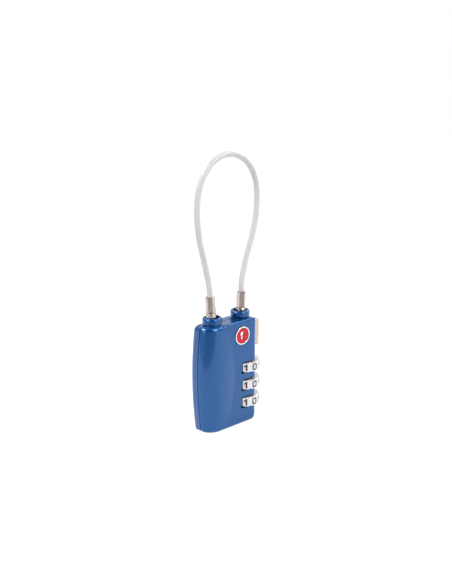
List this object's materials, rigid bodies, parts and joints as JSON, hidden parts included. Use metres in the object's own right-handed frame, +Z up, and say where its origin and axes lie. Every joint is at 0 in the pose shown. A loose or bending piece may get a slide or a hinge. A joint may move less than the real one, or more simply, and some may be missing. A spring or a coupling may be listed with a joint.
{
  "type": "cable padlock",
  "caption": "Combination padlock with number dials, a flexible steel cable shackle, a side release button and a key override in its base.",
  "frame": {"origin": "centre of the flat bottom face, on the seam plane of the two case halves", "axes": "+X to the right, from the bulge towards the dials and the button; +Y to the rear; +Z up, from the case towards the cable loop"},
  "size_m": [0.0414, 0.0154, 0.1364],
  "materials": {
    "blue_case": "glossy metallic lacquer",
    "nickel": "satin nickel plating",
    "crimp_nickel": "warm nickel plating",
    "button_metal": "satin champagne plating",
    "steel": "bright steel",
    "brass": "bare brass",
    "zinc": "as cast zinc",
    "red_enamel": "gloss enamel",
    "jacketed_rope": "clear jacket over steel rope",
    "black_plastic": "matte"
  },
  "bodies": {
    "case": {"front_shell": "blue_case", "rear_shell": "blue_case", "fixed_collar": "blue_case", "socket_collar": "blue_case", "badge_bezel": "nickel", "badge": "red_enamel", "case_screws": "steel", "detent_spring": "steel", "anchor_pin": "steel", "fixed_ferrule": "crimp_nickel", "cable": "jacketed_rope", "key_housing": "zinc", "spindle_spring": "steel", "button_spring": "steel", "ejector_spring": "steel"},
    "dial_top": {"dial_top": "nickel", "clutch_top": "black_plastic"},
    "dial_middle": {"dial_middle": "nickel", "clutch_middle": "black_plastic"},
    "dial_bottom": {"dial_bottom": "nickel", "clutch_bottom": "black_plastic"},
    "spindle": {"spindle": "steel"},
    "button": {"release_button": "button_metal", "latch_slider": "zinc"},
    "free_end": {"free_ferrule": "crimp_nickel", "plug_pin": "nickel"},
    "ejector": {"ejector_cup": "brass"},
    "key": {"key_plug": "zinc", "key_wafers": "brass", "key_cam": "brass"},
    "reset": {"reset_slider": "black_plastic"}
  },
  "joints": [
    {"name": "dial_top_spin", "type": "hinge", "parent": "case", "child": "dial_top", "pos_m": [0.01124, 0, 0.0292], "axis": [0, 0, 1], "continuous": true},
    {"name": "dial_middle_spin", "type": "hinge", "parent": "case", "child": "dial_middle", "pos_m": [0.01124, 0, 0.02], "axis": [0, 0, 1], "continuous": true},
    {"name": "dial_bottom_spin", "type": "hinge", "parent": "case", "child": "dial_bottom", "pos_m": [0.01124, 0, 0.0108], "axis": [0, 0, 1], "continuous": true},
    {"name": "button_push", "type": "slide", "parent": "case", "child": "button", "axis": [-1, 0, 0], "range_m": [0, 0.0016], "stiffness_N_per_m": 1500, "springref_m": -0.001, "deforming": ["button_spring"]},
    {"name": "spindle_press", "type": "slide", "parent": "case", "child": "spindle", "axis": [0, 0, -1], "range_m": [0, 0.0016], "deforming": ["spindle_spring"]},
    {"name": "free_end_pull", "type": "slide", "parent": "case", "child": "free_end", "axis": [0, 0, 1], "range_m": [0, 0.016], "deforming": ["cable"]},
    {"name": "ejector_press", "type": "slide", "parent": "case", "child": "ejector", "axis": [0, 0, -1], "range_m": [0, 0.0012], "stiffness_N_per_m": 400, "springref_m": -0.001, "deforming": ["ejector_spring"]},
    {"name": "key_turn", "type": "hinge", "parent": "case", "child": "key", "pos_m": [-0.0095, 0, 0.0009], "axis": [0, 0, 1], "range_deg": [0, 90]},
    {"name": "reset_slide", "type": "slide", "parent": "case", "child": "reset", "axis": [0, 0, 1], "range_m": [0, 0.0014]}
  ],
  "couplings": [
    {"joint": "spindle_press", "follows": "button_push", "ratio": 1}
  ]
}
